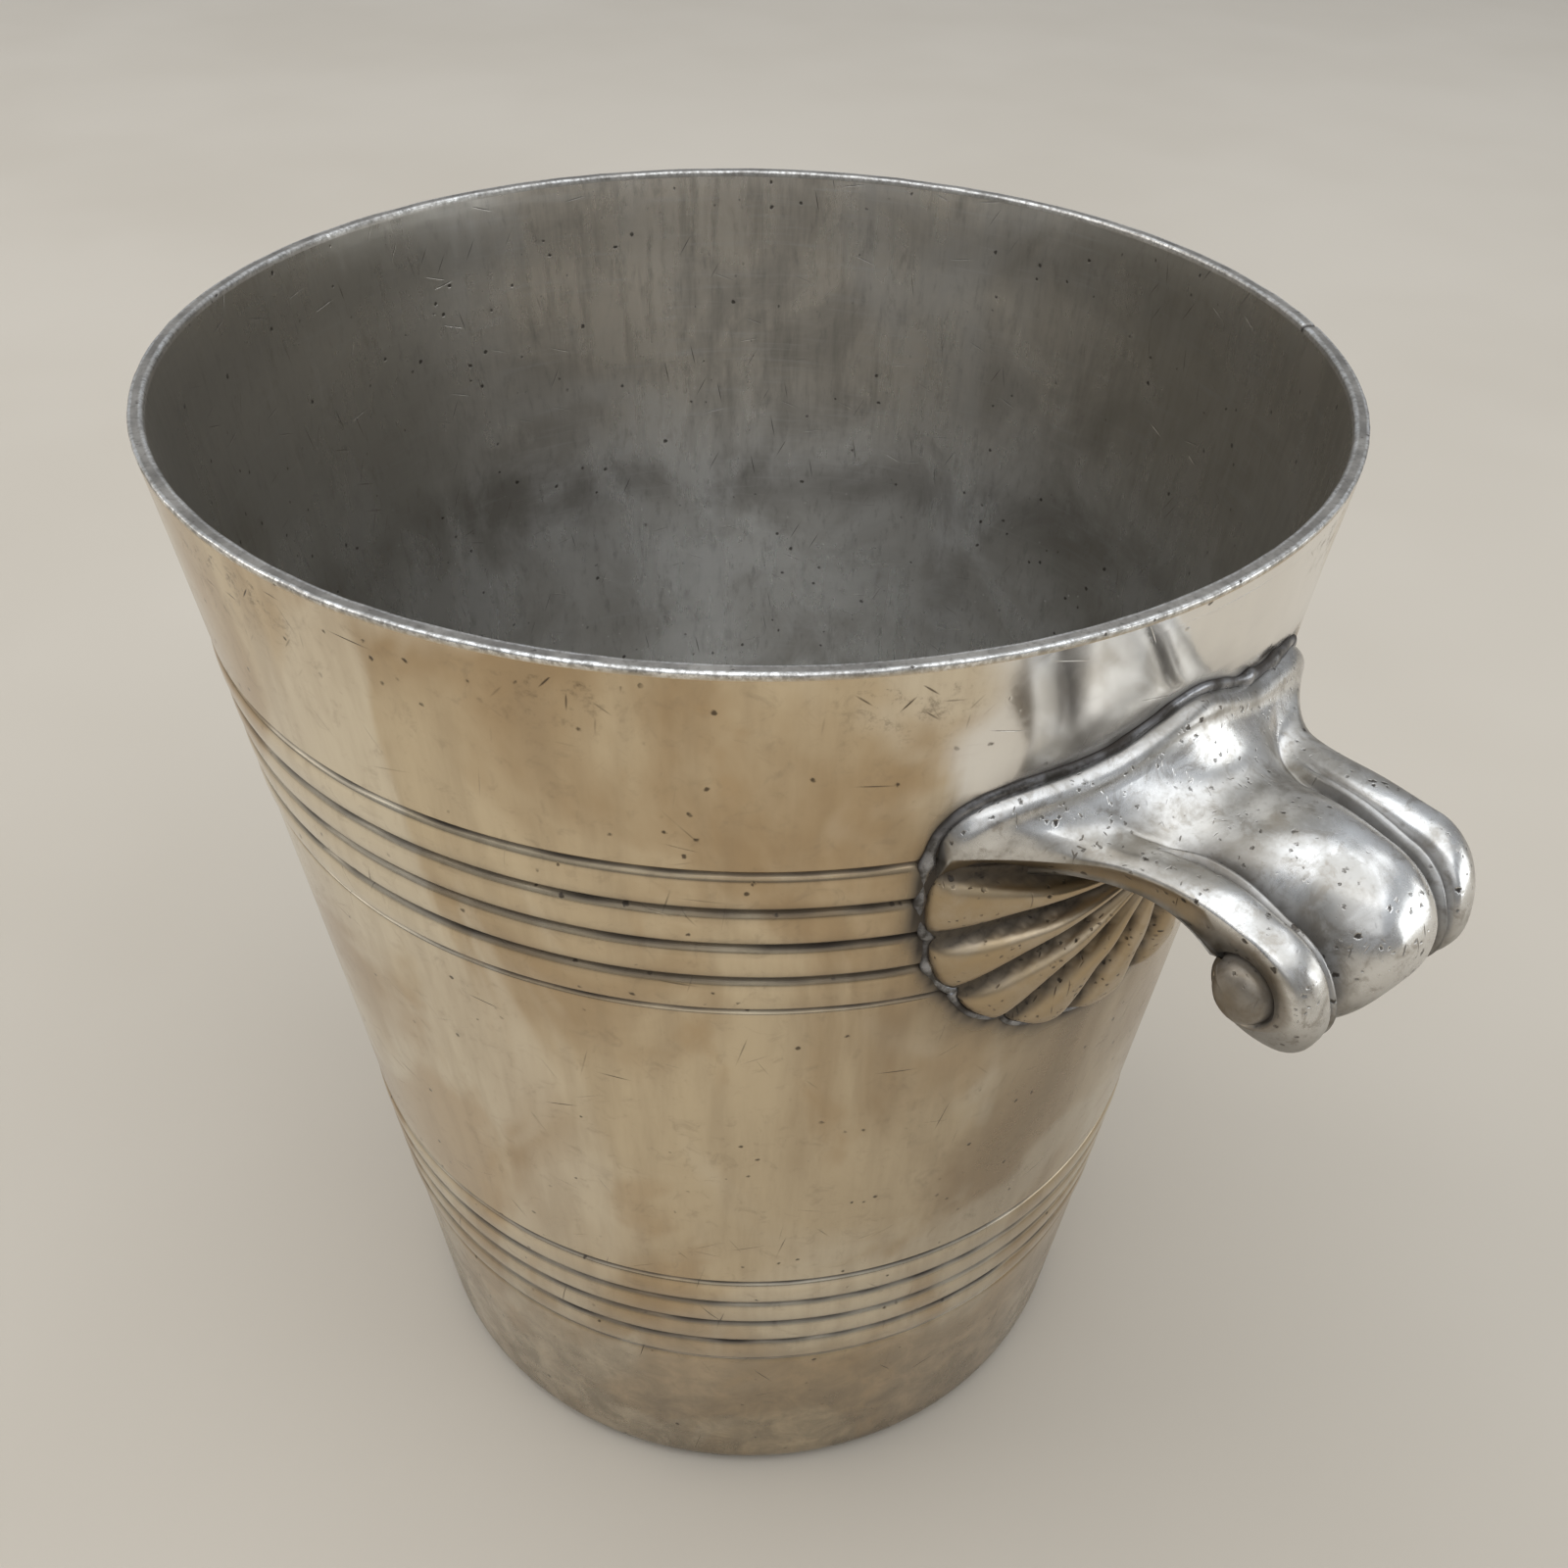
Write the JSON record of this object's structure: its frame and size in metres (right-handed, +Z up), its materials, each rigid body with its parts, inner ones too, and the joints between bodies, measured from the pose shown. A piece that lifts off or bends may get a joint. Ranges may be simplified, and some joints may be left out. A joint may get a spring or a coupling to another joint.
{
  "type": "champagne bucket",
  "caption": "Conical silver-plated bucket with two bands of turned grooves and a scroll handle over a fluted shell on each side.",
  "frame": {"origin": "centre of the base, on the plane the bucket stands on", "axes": "+Z up along the bucket's axis of rotation; +X towards the right handle, -X towards the left handle"},
  "size_m": [0.28, 0.2, 0.224],
  "materials": {
    "body_silver": "silver plate over brass, polished outside with warm tarnish and fine scratches, dull and stained inside",
    "rim_silver": "silver plate, worn matt on top with a bright outer edge",
    "handle_silver": "silver plate over cast brass, bright on the crests, dark in the valleys",
    "solder": "dull grey solder, uneven, with dark edges"
  },
  "bodies": {
    "root": {"body_shell": "body_silver", "rim_wire": "rim_silver", "right_handle_arm": "handle_silver", "right_handle_shell": "handle_silver", "right_handle_solder": "solder", "left_handle_arm": "handle_silver", "left_handle_shell": "handle_silver", "left_handle_solder": "solder"}
  },
  "joints": []
}
